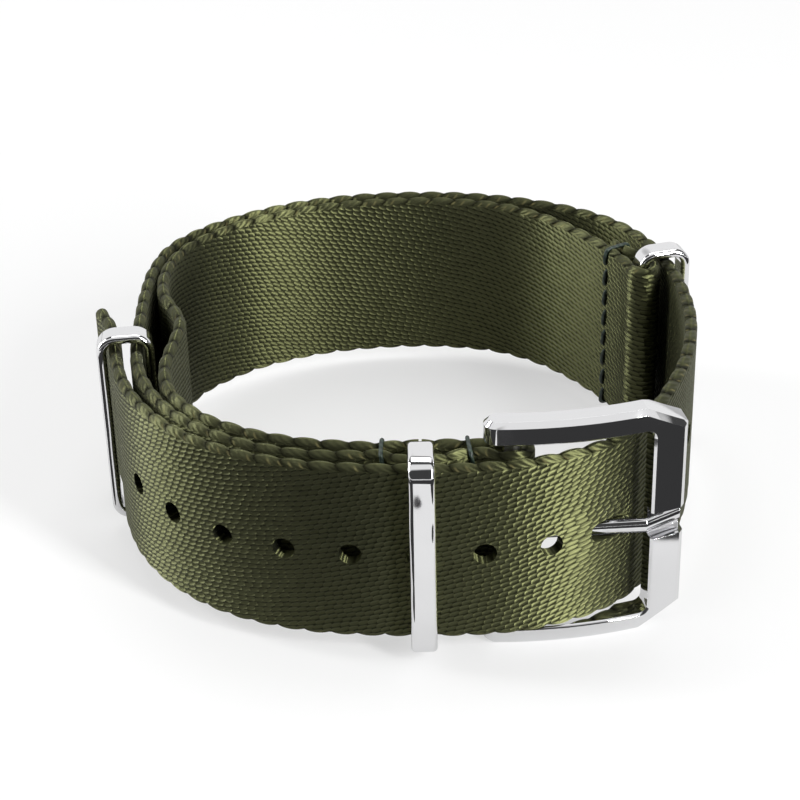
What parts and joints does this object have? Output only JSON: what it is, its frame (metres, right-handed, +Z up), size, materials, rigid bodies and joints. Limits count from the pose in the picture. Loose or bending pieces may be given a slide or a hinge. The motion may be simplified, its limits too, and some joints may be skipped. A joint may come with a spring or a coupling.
{
  "type": "watch strap",
  "caption": "Pull-through woven watch strap with three metal keeper rings and a pin buckle, closed in a loop on its edge.",
  "frame": {"origin": "under the middle of the strap's footprint, on the surface that it stands on", "axes": "+Z up along the webbing's width, +X to the right seen from the buckle's side, +Y to the back of the loop"},
  "size_m": [0.065, 0.0628, 0.0259],
  "materials": {
    "webbing": "satin woven nylon",
    "thread": "dark green sewing thread",
    "polished_steel": "mirror-polished steel",
    "spring_bar_steel": "plain drawn steel"
  },
  "bodies": {
    "strap": {"main_strap": "webbing", "short_strap": "webbing", "left_stitches": "thread", "right_stitches": "thread", "rear_stitches": "thread"},
    "buckle": {"buckle_frame": "polished_steel"},
    "tang": {"buckle_tang": "polished_steel"},
    "bar": {"spring_bar_tube": "spring_bar_steel", "spring_bar_spring": "spring_bar_steel"},
    "upper_pin": {"spring_bar_pin_upper": "spring_bar_steel"},
    "lower_pin": {"spring_bar_pin_lower": "spring_bar_steel"},
    "front_ring": {"front_keeper_ring": "polished_steel"},
    "side_ring": {"side_keeper_ring": "polished_steel"},
    "rear_ring": {"rear_ring": "polished_steel"}
  },
  "joints": [
    {"name": "buckle_hinge", "type": "hinge", "parent": "strap", "child": "buckle", "pos_m": [0.01064, -0.0256, 0.0124], "axis": [0, 0, -1], "range_deg": [0, 2]},
    {"name": "tang_hinge", "type": "hinge", "parent": "buckle", "child": "tang", "pos_m": [0.01064, -0.0256, 0.0124], "axis": [0, 0, -1], "range_deg": [0, 1]},
    {"name": "bar_turn", "type": "hinge", "parent": "buckle", "child": "bar", "pos_m": [0.01064, -0.0256, 0.0124], "axis": [0, 0, 1], "continuous": true},
    {"name": "upper_pin_press", "type": "slide", "parent": "bar", "child": "upper_pin", "axis": [0, 0, -1], "range_m": [0, 0.0011], "stiffness_N_per_m": 300, "springref_m": -0.002, "deforming": ["spring_bar_spring"]},
    {"name": "lower_pin_press", "type": "slide", "parent": "bar", "child": "lower_pin", "axis": [0, 0, 1], "range_m": [0, 0.0011], "stiffness_N_per_m": 300, "springref_m": -0.002},
    {"name": "front_ring_slide", "type": "slide", "parent": "strap", "child": "front_ring", "axis": [-1, -0.0001, 0], "range_m": [-0.0006, 0.0006]},
    {"name": "side_ring_slide", "type": "slide", "parent": "strap", "child": "side_ring", "axis": [-0.1064, 0.9943, 0], "range_m": [-0.0025, 0.0012]},
    {"name": "rear_ring_rock", "type": "hinge", "parent": "strap", "child": "rear_ring", "pos_m": [0.02698, 0.01177, 0.0124], "axis": [0, 0, 1], "range_deg": [-3, 3]}
  ]
}
